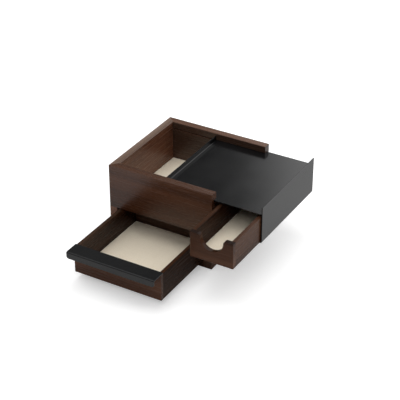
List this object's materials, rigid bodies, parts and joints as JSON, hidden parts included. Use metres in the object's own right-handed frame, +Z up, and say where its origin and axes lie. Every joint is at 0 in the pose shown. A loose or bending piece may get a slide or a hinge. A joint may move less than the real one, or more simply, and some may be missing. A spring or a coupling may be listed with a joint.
{
  "type": "jewelry box with drawers",
  "caption": "Square walnut jewellery box with a black metal lid that slides sideways, a small drawer hung under the lid and a wide lower drawer with a metal grip, shown open.",
  "frame": {"origin": "centre of the case's footprint, on the surface it stands on", "axes": "+X right along the front, the way the lid opens; +Y towards the back; +Z up"},
  "size_m": [0.2113, 0.2592, 0.106],
  "materials": {
    "walnut": "dark walnut veneer, open grain running level, satin",
    "black_steel": "fine black powder coat, satin",
    "linen": "cream linen weave over thin card, matt",
    "beech": "plain turned beech",
    "black_nylon": "matt black nylon",
    "bare_steel": "plain steel wire"
  },
  "bodies": {
    "case": {"left_side_panel": "walnut", "back_panel": "walnut", "upper_front_panel": "walnut", "lower_right_panel": "walnut", "base_panel": "walnut", "middle_shelf": "walnut", "compartment_divider": "walnut", "compartment_lining": "linen", "case_dowels": "beech"},
    "lid": {"lid_plate": "black_steel", "lid_end_panel": "black_steel", "lid_hold_down_strips": "black_nylon"},
    "small_drawer": {"small_drawer_front": "walnut", "small_drawer_left_side": "walnut", "small_drawer_right_side": "walnut", "small_drawer_back": "walnut", "small_drawer_bottom": "walnut", "small_drawer_lining": "linen"},
    "lower_drawer": {"lower_drawer_front": "walnut", "lower_drawer_left_side": "walnut", "lower_drawer_right_side": "walnut", "lower_drawer_back": "walnut", "lower_drawer_bottom": "walnut", "lower_drawer_lining": "linen", "lower_drawer_handle": "black_steel", "lower_drawer_handle_pins": "bare_steel"}
  },
  "joints": [
    {"name": "lid_slide", "type": "slide", "parent": "case", "child": "lid", "axis": [1, 0, 0], "range_m": [-0.0055, 0]},
    {"name": "small_drawer_slide", "type": "slide", "parent": "lid", "child": "small_drawer", "axis": [0, -1, 0], "range_m": [-0.0732, 0.03]},
    {"name": "lower_drawer_slide", "type": "slide", "parent": "case", "child": "lower_drawer", "axis": [0, -1, 0], "range_m": [-0.098, 0.012]}
  ]
}
